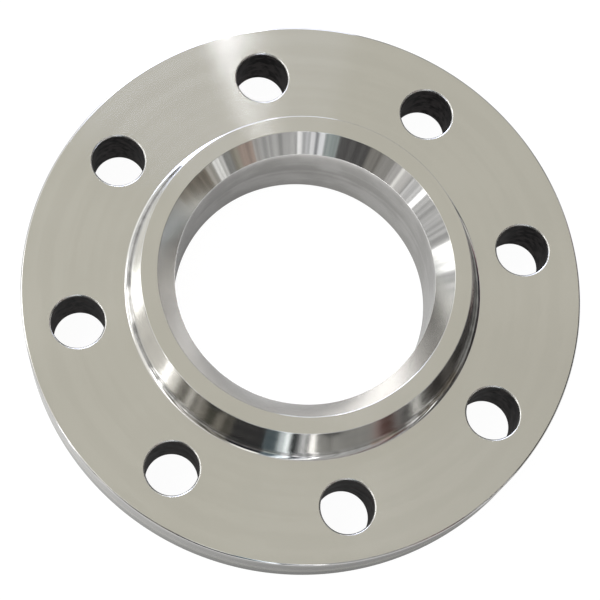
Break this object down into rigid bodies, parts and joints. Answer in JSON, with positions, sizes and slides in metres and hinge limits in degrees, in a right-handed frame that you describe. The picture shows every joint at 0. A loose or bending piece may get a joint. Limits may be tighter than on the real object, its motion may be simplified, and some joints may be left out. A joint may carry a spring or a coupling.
{
  "type": "weld neck flange",
  "caption": "Round steel pipe flange with a short raised hub, a coned bore mouth and bolt holes on a circle, for bolting one pipe end to another.",
  "frame": {"origin": "centre of the flat gasket face, on the bore's axis", "axes": "+Z along the bore from the gasket face to the hub's weld end; +X and +Y run between bolt holes, which straddle both axes"},
  "size_m": [0.235, 0.235, 0.046],
  "materials": {
    "machined_stainless_steel": "bright turned stainless steel: fine circular lay on the flat faces, near-mirror hub, fillet and cone"
  },
  "bodies": {
    "root": {"flange_forging": "machined_stainless_steel"}
  },
  "joints": []
}
